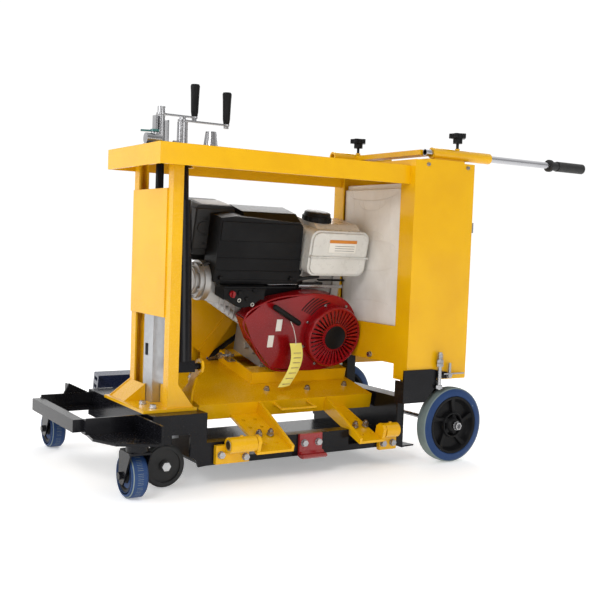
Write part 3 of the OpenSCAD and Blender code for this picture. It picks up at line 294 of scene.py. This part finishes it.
def block(name, matrix, size, body, mat, round_by):
    """A bevelled box with the given placement. size is its three sides in millimetres."""
    bm = bmesh.new()
    bmesh.ops.create_cube(bm, size=1.0)
    bmesh.ops.scale(bm, vec=[s * MM for s in size], verts=bm.verts)
    bmesh.ops.bevel(bm, geom=bm.edges[:], offset=round_by * MM, segments=3, profile=0.5, affect="EDGES")
    mesh = bpy.data.meshes.new(name)
    bm.to_mesh(mesh)
    bm.free()
    mesh.materials.append(mat)
    obj = bpy.data.objects.new(name, mesh)
    bpy.context.collection.objects.link(obj)
    obj.matrix_world = matrix
    mesh.shade_smooth()
    mesh.set_sharp_from_angle(angle=BLOCK_SHARP)
    return finish_piece(obj, body)


def tube(name, points, radius, body, mat, closed=False):
    """A round rod or cable through points given in metres."""
    curve = bpy.data.curves.new(name, "CURVE")
    curve.dimensions = "3D"
    curve.bevel_depth = radius * MM
    curve.bevel_resolution = 5
    curve.use_fill_caps = True
    line = curve.splines.new("BEZIER")
    line.bezier_points.add(len(points) - 1)
    for knot, p in zip(line.bezier_points, points):
        knot.co = p
        knot.handle_left_type = knot.handle_right_type = "AUTO"
    line.use_cyclic_u = closed
    curve.materials.append(mat)
    obj = bpy.data.objects.new(name, curve)
    bpy.context.collection.objects.link(obj)
    return finish_piece(obj, body)


def turned(a, radius, centre=(0, 0)):
    """The point at an angle on a circle."""
    return centre[0] + radius * math.cos(a), centre[1] + radius * math.sin(a)


# ------------------------------------------------------------------ wheels
WHEEL_AXIS_CASTER, WHEEL_AXIS_REAR = (1, 0, 0), (0, 1, 0)


def tyre_profile(radius, half, inner, shoulder):
    """Rounded tyre section from one bead to the other, and which stretches are tread."""
    points = [(-half * 0.80, inner), (-half, inner + 3), (-half, radius - shoulder)]
    bands = [0, 0]
    for i in range(1, 7):
        lift = math.sin(math.radians(15 * i))
        rise = shoulder * lift * 0.9 if i < 6 else shoulder * 0.9
        points.append((-half + shoulder * 0.55 * lift, radius - shoulder + rise))
        bands.append(0 if i < 4 else 1)
    points.append((-half * 0.34, radius))
    bands.append(1)
    mirrored = [(-a, r) for a, r in reversed(points)]
    return points + mirrored, bands + [1] + list(reversed(bands))


def caster_tyre(node, body):
    """Tyre and stepped rims over a caster's plain wheel."""
    low, high = (Vector(v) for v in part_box(node))
    centre = (low + high) / 2
    radius = (high.z - low.z) / MM / 2
    half = (high.x - low.x) / MM / 2 - 2.5
    points, bands = tyre_profile(radius, half, radius * 0.70, 9)
    lathe(node + "_tyre", points, centre, WHEEL_AXIS_CASTER, body, [TYRE, TREAD], 80, bands)
    steps_in = ((-1.5, 0.73), (-2, 0.62), (-6, 0.56), (-7, 0.36), (-1, 0.30), (2, 0.24))
    axle_hole = 5.1
    for side in (-1, 1):
        rim = [(side * (half + out), radius * part) for out, part in steps_in]
        rim.append((side * (half + 2), axle_hole))
        rim_name = "%s_rim_%d" % (node, side + 1)
        lathe(rim_name, rim, centre, WHEEL_AXIS_CASTER, body, [PLASTIC], 64)


def spoke_mesh(centre, side, start, face):
    """One swept spoke from the boss to the rim, on one side of the wheel's disc."""
    inner, reach, sweep, rows = 18, 55, 0.34, 9
    root = 3
    verts, faces = [], []
    for k in range(rows):
        t = k / (rows - 1)
        radial = inner + t * reach
        swing = start + sweep * math.sin(t * math.pi / 2)
        width = 7.5 - 3.0 * math.sin(t * math.pi)
        depth = face - root - 5 * math.sin(t * math.pi)
        for off, deep in ((-width - 2, root), (-width, depth), (width, depth), (width + 2, root)):
            x, z = turned(swing + off / radial, radial)
            verts.append(centre + MM * Vector((x, side * deep, z)))
    for k in range(rows - 1):
        for c in range(3):
            a = k * 4 + c
            faces.append((a, a + 1, a + 5, a + 4))
    return verts, faces


def rear_wheel(tyre, hub, body):
    """Tyre, dished rim, boss and five spokes a side, in place of the plain wheel."""
    low, high = (Vector(v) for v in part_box(tyre))
    centre = (low + high) / 2
    radius = (high.z - low.z) / MM / 2
    half = (high.y - low.y) / MM / 2
    face = half - 1
    points, bands = tyre_profile(radius, half, 79, 11)
    rubber = [TYRE, TREAD]
    tread = lathe(tyre + "_rubber", points, centre, WHEEL_AXIS_REAR, body, rubber, 128, bands)
    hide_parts(tyre)
    outer = [(4, 27), (4, 64), (8, 68), (face - 6, 70), (face - 1, 73), (face, 76), (face, 79.5)]
    dish_profile = [(-a, r) for a, r in reversed(outer)] + outer
    dish = lathe(hub + "_rim", dish_profile, centre, WHEEL_AXIS_REAR, body, [PLASTIC], 96)
    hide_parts(hub)
    boss = [(5, 27), (half - 3, 20), (half + 3, 18), (half + 5, 15), (half + 5, 7.2)]
    boss_profile = [(-a, r) for a, r in reversed(boss)] + boss
    lathe(hub + "_boss", boss_profile, centre, WHEEL_AXIS_REAR, body, [PLASTIC], 64)
    ring = [(-face + 3, 30), (-face + 1.5, 31), (-face + 1.5, 34), (-face + 3, 35), (-4, 36), (-4, 30)]
    lathe(hub + "_ring", ring + ring[:1], centre, WHEEL_AXIS_REAR, body, [PLASTIC], 64)
    spokes = 5
    for side in (-1, 1):
        for i in range(spokes):
            verts, faces = spoke_mesh(centre, side, math.tau * i / spokes, face)
            spoke = add_object("%s_spoke_%d_%d" % (hub, side + 1, i), verts, faces, [PLASTIC])
            weld(spoke)
            finish_piece(spoke, body)


for place in ("near", "far"):
    caster_tyre("caster_wheel_" + place, "cwheel_" + place)
for place in ("near", "far"):
    rear_wheel("rear_tyre_" + place, "rear_hub_" + place, "wheel_" + place)


# ------------------------------------------------------------------ pieces on the deck
TOWARDS_VIEWER = DECK_Y * -1
FORWARD = (-1, 0, 0)


def plate(name, corners, lift, mat, direction):
    """A thin sheet on the deck through corner points in metres, lifted off its backing."""
    thick = 0.3
    verts = [p + direction * lift * MM for p in corners]
    verts += [p + direction * (lift + thick) * MM for p in corners]
    n = len(corners)
    faces = [tuple(range(n - 1, -1, -1)), tuple(range(n, 2 * n))]
    faces += [(i, (i + 1) % n, n + (i + 1) % n, n + i) for i in range(n)]
    obj = add_object(name, verts, faces, [mat], False)
    weld(obj)
    return finish_piece(obj, "deck")


def upright_label(name, x0, x1, y, z0, z1, lift, mat):
    """A flat label that faces the near side, between two heights of the deck's frame."""
    corners = [deck(x0, y, z0), deck(x1, y, z0), deck(x1, y, z1), deck(x0, y, z1)]
    return plate(name, corners, lift, mat, TOWARDS_VIEWER)


def deck_box(name, low, high, mat, round_by=2.0):
    """A bevelled block between two corners in the deck's own frame."""
    middle = [(a + b) / 2 for a, b in zip(low, high)]
    size = [b - a for a, b in zip(low, high)]
    return block(name, deck_matrix(*middle), size, "deck", mat, round_by)


def deck_rod(name, a, b, radius, mat, body="deck", steps=32):
    """A round bar between two points in the deck's own frame, with softened ends."""
    start, end = deck(*a), deck(*b)
    length = (end - start).length / MM
    soft = min(radius * 0.25, 1.2)
    profile = [(0, ON_AXIS), (0, radius - soft), (soft, radius)]
    profile += [(length - soft, radius), (length, radius - soft), (length, ON_AXIS)]
    return lathe(name, profile, start, end - start, body, [mat], steps)


def deck_tube(name, points, radius, mat):
    """A rod or hose through points in the deck's own frame."""
    return tube(name, [deck(*p) for p in points], radius, "deck", mat)


CRANK_X, CRANK_Z = 637, 143


def recoil_starter():
    """Plain badge disc, rounded lip round the slots, and the cover's screws."""
    badge = [(1.2, ON_AXIS), (1.2, 30), (1.8, 31), (2.0, 32.5), (1.4, 34), (-0.4, 34.5)]
    middle = deck(CRANK_X, 81.3, CRANK_Z)
    lathe("recoil_badge", badge, middle, TOWARDS_VIEWER, "deck", [PLASTIC], 72)
    lip = [(0, 79.5), (2.2, 80.5), (3, 82.5), (2.2, 85.5), (-1, 87.8), (-6, 88.3)]
    lathe("recoil_lip", lip, deck(CRANK_X, 85.2, CRANK_Z), TOWARDS_VIEWER, "deck", [RED], 96)
    # Eight places round the cover; the first has no screw, since the tank housing is there
    screw_ring, screw_r = 93, 4.2
    for i in range(1, 8):
        x, z = turned(math.radians(20 + 45 * i), screw_ring, (CRANK_X, CRANK_Z))
        deck_rod("recoil_screw_%d" % i, (x, 104.5, z), (x, 108.2, z), screw_r, ZINC)


def shroud():
    """Louvres in the blower shroud, above the recoil cover, and the shroud's rolled edge."""
    for i in range(5):
        points = []
        for k in range(7):
            a = math.radians(100 + 6 * i + (42 - 5 * i) * k / 6)
            x, z = turned(a, 97 + 8.5 * i, (CRANK_X, CRANK_Z))
            points.append((x, 107.9, z))
        deck_tube("shroud_louvre_%d" % i, points, 1.7, PLASTIC)
    outline = [(350, 192), (386, 124), (454, 50), (556, 41), (614, 41)]
    outline += [turned(math.radians(a), 109, (614, 150)) for a in range(-80, 91, 17)]
    outline += [(534, 262), (400, 236)]
    edge = [deck(x, 109.5, z) for x, z in outline]
    tube("shroud_edge", edge, 2.6, "deck", RED, True)


def air_cleaner():
    """Ridges, seam, lid edge and clips on the air cleaner's near side."""
    for k, z in enumerate((318, 352)):
        deck_box("cleaner_step_%d" % k, (262, 136.4, z), (514, 139, z + 3), PLASTIC, 0.9)
    deck_box("cleaner_seam", (256, 137, 288), (518, 141, 296), PLASTIC, 1.2)
    deck_box("cleaner_lid", (262, 135.5, 400), (508, 139, 452), PLASTIC, 1.6)
    for x in (276, 494):
        deck_rod("cleaner_clip_%d" % x, (x, 131, 300), (x, 138, 300), 6, PLASTIC)


def muffler():
    """Heat shield with rows of raised slots, two bands, the outlet and a plain plate."""
    deck_box("muffler_shield", (218, 203.5, 362), (330, 207.5, 470), EXHAUST, 1.8)
    for row in range(4):
        for col in range(3):
            x = 232 + col * 30
            z = 374 + row * 22
            slot_name = "shield_slot_%d_%d" % (row, col)
            deck_box(slot_name, (x, 202.6, z), (x + 20, 203.8, z + 7), EXHAUST, 0.4)
    for k, z in enumerate((352, 466)):
        deck_box("muffler_band_%d" % k, (214.8, 212, z), (333, 308, z + 5), EXHAUST, 1.0)
    outlet = [(0, 10), (14, 10), (14, 14), (11, 15), (0, 15), (0, 10)]
    lathe("exhaust_outlet", outlet, deck(216, 262, 392), FORWARD, "deck", [EXHAUST], 40)
    corners = [deck(236, 216, 480), deck(322, 216, 480), deck(322, 286, 480), deck(236, 286, 480)]
    plate("muffler_label", corners, 0.3, GREY, DECK_Z)


def control_box():
    """Three plain dials and a seam."""
    for k, (x, z, r) in enumerate(((330, 264, 8), (372, 272, 6), (352, 248, 6))):
        deck_rod("control_dial_%d" % k, (x, 111.5, z), (x, 116.2, z), r, PLASTIC)
    deck_box("control_seam", (280, 113.8, 274), (408, 116.6, 277), PLASTIC, 0.8)


def fuel_tank_labels():
    """Plain bands and lines on the fuel tank, without any words."""
    y, x0, x1, z0, z1 = 105.6, 584, 676, 384, 420
    upright_label("tank_label_white", x0, x1, y, z0, z1, 0.2, LABEL)
    upright_label("tank_label_band", x0, x1, y, z1 - 9, z1, 0.6, ORANGE)
    for k in range(3):
        z = 389 + 6.5 * k
        upright_label("tank_label_line_%d" % k, 604, 670, y, z, z + 1.6, 0.6, GREY)


def shroud_stickers():
    """Two small blank stickers on the blower shroud."""
    for k, (x, z) in enumerate(((452, 158), (432, 112))):
        upright_label("shroud_sticker_%d" % k, x, x + 18, 107.9, z, z + 34, 0.2, LABEL)


def fuel_cap():
    """Domed top and grip ribs on the fuel cap."""
    dome = [(0, 40.6), (12, 40.6), (14, 38.5), (24, 36.5), (26, 33), (26.4, ON_AXIS)]
    cap_x, cap_y, ribs = 583, 186, 18
    lathe("fuel_cap_top", dome, deck(cap_x, cap_y, 456.6), DECK_Z, "lid", [PLASTIC], 72)
    for i in range(ribs):
        x, y = turned(math.tau * i / ribs, 40, (cap_x, cap_y))
        deck_rod("cap_rib_%d" % i, (x, y, 458), (x, y, 469.5), 2.4, PLASTIC, "lid", 12)


def control_marks():
    """Two plain rings on the control box."""
    sides = 12
    for k, (x, z) in enumerate(((330, 244), (372, 232))):
        ring = []
        for i in range(sides):
            ring_x, ring_z = turned(i * math.tau / sides, 4.5, (x, z))
            ring.append(deck(ring_x, 115.9, ring_z))
        tube("control_mark_%d" % k, ring, 0.9, "deck", LABEL, True)


def linkage_and_hoses():
    """Carburettor body in black, as painted shade in the gap behind the shroud, then governor and choke
    plates, rod, hoses and spark lead.
    """
    # This carburettor block is black plastic so that it fills the gap behind the shroud with painted
    # shade.
    deck_box("carburettor_body_painted_shade", (412, 166, 236), (556, 190, 298), PLASTIC, 4)
    deck_box("linkage_plate", (420, 142, 270), (520, 166, 276), PLASTIC, 1.2)
    deck_box("governor_arm", (540, 158, 268), (690, 163, 277), ZINC, 0.8)
    deck_box("choke_plate", (600, 152, 290), (690, 164, 294), PLASTIC, 0.8)
    rod = [(430, 146, 280), (462, 145, 281), (494, 145, 282), (524, 145, 282)]
    deck_tube("throttle_rod", rod, 1.6, ZINC)
    fuel = [(548, 176, 316), (544, 172, 306), (534, 170, 300), (520, 172, 296)]
    deck_tube("fuel_hose", fuel, 4.0, RUBBER)
    breather = [(452, 172, 300), (470, 158, 290), (500, 150, 287), (540, 152, 296), (600, 158, 302)]
    deck_tube("breather_hose", breather, 5.0, RUBBER)
    lead = [(232, 196, 300), (240, 182, 322), (262, 172, 330), (290, 168, 300), (300, 166, 284)]
    deck_tube("spark_lead", lead, 3.6, RUBBER)


def rocker_cover():
    """Raised ridge and six screws on the rocker cover."""
    ridge = [(0, 34), (2.5, 33), (3.2, 30), (2.5, 27), (0, 26)]
    lathe("rocker_ridge", ridge, deck(219, 200, 277), FORWARD, "deck", [ALLOY], 64)
    screws, first_turn = 6, 0.3
    for i in range(screws):
        y, z = turned(math.tau * i / screws + first_turn, 44, (200, 277))
        deck_rod("rocker_screw_%d" % i, (224, y, z), (229, y, z), 4, ZINC)


recoil_starter()
shroud()
air_cleaner()
muffler()
control_box()
fuel_tank_labels()
shroud_stickers()
fuel_cap()
control_marks()
linkage_and_hoses()
rocker_cover()


# ------------------------------------------------------------------ water tank and hinge
def water_tank_panels():
    """Moulded panel lines, with cut corners, on the water tank's front face."""
    low, high = (Vector(v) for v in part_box("water_tank"))
    span = high - low
    cut = 0.03
    for k, (y0, z0, y1, z1) in enumerate(((0.10, 0.08, 0.88, 0.44), (0.10, 0.50, 0.88, 0.93),
                                          (0.28, 0.56, 0.70, 0.86))):
        points = []
        for y, z in ((y0, z0), (y1, z0), (y1, z1), (y0, z1)):
            along_first = (y, z) in ((y0, z0), (y1, z1))
            steps = ((cut, 0), (0, cut)) if along_first else ((0, cut), (cut, 0))
            for dy, dz in steps:
                in_y = y + (dy if y == y0 else -dy)
                in_z = z + (dz if z == z0 else -dz)
                points.append(Vector((low.x + 0.0012, low.y + span.y * in_y, low.z + span.z * in_z)))
        tube("tank_panel_line_%d" % k, points, 1.8, "frame", WATER, True)


def hinge_bore():
    """Open front end of the hinge tube: a bright ring set round a black disc, which is painted shade for
    the dark hollow of the bore.
    """
    ring = [(0.4, ON_AXIS), (0.4, 9.4), (0.6, 9.6), (0.6, 12.5), (0.1, 12.9)]
    end = at(192, -30, 101.5)
    # The first two bands make a black disc over the bore end: painted shade, not a real part.
    lathe("hinge_ring_and_painted_bore_shade_0", ring, end, FORWARD, "frame", [STEEL, RUBBER], 48, [1, 1, 0, 0])


water_tank_panels()
hinge_bore()


# ------------------------------------------------------------------ paper tag
TAG_WIDE, TAG_LONG, TAG_THICK = 38.0, 122.0, 0.35
TAG_TOP_Y, TAG_TOP_Z = 72, 134
TAG_DROP = TAG_LONG * 0.985


def tag_middle(t):
    """The card's centre line, which bows rearwards and then swings back to the front."""
    return 500 + 18 * math.sin(math.pi * t) - 26 * t * t


def tag_curl(t):
    """How far the card stands off the shroud, from its top edge to its bottom edge."""
    return 16 * t * t - 5 * math.sin(t * 2.6)


def tag_point(t, u, side):
    """A point of the card: t runs down it, u across it, and side picks a face."""
    bend = 3.0 * math.cos(u * math.pi) * (0.3 + 0.7 * t)
    y = TAG_TOP_Y - tag_curl(t) - bend + side * TAG_THICK
    return deck(tag_middle(t) + TAG_WIDE * u, y, TAG_TOP_Z - TAG_DROP * t + 4 * u * t)


def tag_card():
    """The two faces of the card and its edge."""
    rows, cols = 28, 10
    across = cols + 1
    verts = [tag_point(r / rows, c / cols - 0.5, side)
             for side in (0, 1) for r in range(rows + 1) for c in range(across)]
    layer = (rows + 1) * across
    faces = []
    for side in (0, 1):
        for r in range(rows):
            for c in range(cols):
                a = side * layer + r * across + c
                quad = (a, a + 1, a + across + 1, a + across)
                faces.append(quad if side == 0 else tuple(reversed(quad)))
    edge = list(range(across))
    edge += [r * across + cols for r in range(1, rows + 1)]
    edge += [rows * across + c for c in range(cols - 1, -1, -1)]
    edge += [r * across for r in range(rows - 1, 0, -1)]
    for i, a in enumerate(edge):
        b = edge[(i + 1) % len(edge)]
        faces.append((b, a, a + layer, b + layer))
    card = add_object("paper_tag", verts, faces, [PAPER])
    weld(card)
    finish_piece(card, "deck")
    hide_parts("hang_tag")
    return card


def hang_tag():
    """A limp card on a string from the recoil grip, with plain lines in place of print."""
    tag = tag_card()
    string_path = [deck(484, 88, 192), deck(489, 80, 178), deck(497, 72, 150), deck(500, 68.5, 130)]
    string = tube("tag_string", string_path, 0.8, "deck", LABEL)
    for k in range(7):
        z = 104 - 14 * k
        t = (TAG_TOP_Z - z) / TAG_DROP
        x = tag_middle(t)
        y = TAG_TOP_Y - tag_curl(t) - 3.0 * (0.3 + 0.7 * t) - 0.5
        upright_label("tag_line_%d" % k, x - 12, x + 12, y, z, z + 2, 0.1, TAN)


hang_tag()


# ------------------------------------------------------------------ floor, light and camera
DIM_SIDE, WHITE_SIDE = 0.34, 1.05
# Each lamp: name, place and aim in millimetres, width in metres, watts
LAMPS = (
    ("key", (-1700, -1500, 2000), (300, 150, 400), 1.1, 30),
    ("front", (-2400, 300, 900), (300, 150, 400), 1.5, 20),
    ("low", (300, -2300, 700), (450, 100, 200), 1.4, 12),
    ("rim", (1800, 1800, 1700), (500, 200, 500), 1.5, 20),
)


def add_floor():
    """A wide pale floor just under the wheels."""
    low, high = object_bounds()
    middle = ((low.x + high.x) / 2, (low.y + high.y) / 2, low.z - MM)
    bpy.ops.mesh.primitive_plane_add(size=120, location=middle)
    floor = bpy.context.object
    floor.name = "floor"
    pale = bpy.data.materials.new("pale_floor")
    pale.use_nodes = True
    inputs = pale.node_tree.nodes["Principled BSDF"].inputs
    inputs["Base Color"].default_value = (0.95, 0.95, 0.95, 1)
    inputs["Roughness"].default_value = 0.9
    inputs["Emission Color"].default_value = (1, 1, 1, 1)
    inputs["Emission Strength"].default_value = 0.3
    floor.data.materials.append(pale)


def add_world():
    """White behind the machine, dimmer on the side the picture is taken from."""
    world = bpy.data.worlds.new("studio")
    world.use_nodes = True
    tree = world.node_tree
    background = tree.nodes["Background"]
    background.inputs["Color"].default_value = (1, 1, 1, 1)
    heading = tree.nodes.new("ShaderNodeVectorMath")
    heading.operation = "DOT_PRODUCT"
    heading.inputs[1].default_value = (0.5, 0.85, 0.25)
    ray = tree.nodes.new("ShaderNodeTexCoord").outputs["Generated"]
    tree.links.new(ray, heading.inputs[0])
    shade = ramp(tree, heading.outputs["Value"], DIM_SIDE, WHITE_SIDE, -0.35, 0.45)
    tree.links.new(shade, background.inputs["Strength"])
    bpy.context.scene.world = world
    bpy.context.scene.view_settings.view_transform = "Standard"


def add_lamps():
    """Soft round lamps aimed at the machine."""
    for name, place, aim, size, power in LAMPS:
        lamp = bpy.data.lights.new(name, "AREA")
        lamp.shape = "DISK"
        lamp.size = size
        lamp.energy = power
        lamp_object = bpy.data.objects.new(name, lamp)
        lamp_object.location = at(*place)
        lamp_object.rotation_euler = (at(*aim) - at(*place)).to_track_quat("-Z", "Y").to_euler()
        bpy.context.collection.objects.link(lamp_object)


def camera():
    """The photograph's own place and heading."""
    yaw, pitch, roll = (math.radians(a) for a in (32.803, 3.504, 2.127))
    place = at(-866.3, -1965.8, 593.5)
    forward = Vector((math.sin(yaw) * math.cos(pitch), math.cos(yaw) * math.cos(pitch), -math.sin(pitch)))
    level = Vector((math.cos(yaw), -math.sin(yaw), 0))
    above = level.cross(forward)
    right = math.cos(roll) * level + math.sin(roll) * above
    up = math.cos(roll) * above - math.sin(roll) * level
    lens = bpy.data.cameras.new("camera")
    lens.sensor_width = 36
    lens.lens = 55.55
    lens.clip_end = 200
    shot = bpy.data.objects.new("camera", lens)
    turn = Matrix((right, up, -forward)).transposed().to_4x4()
    shot.matrix_world = Matrix.Translation(place) @ turn
    bpy.context.collection.objects.link(shot)
    bpy.context.scene.camera = shot


add_floor()
add_world()
add_lamps()
camera()
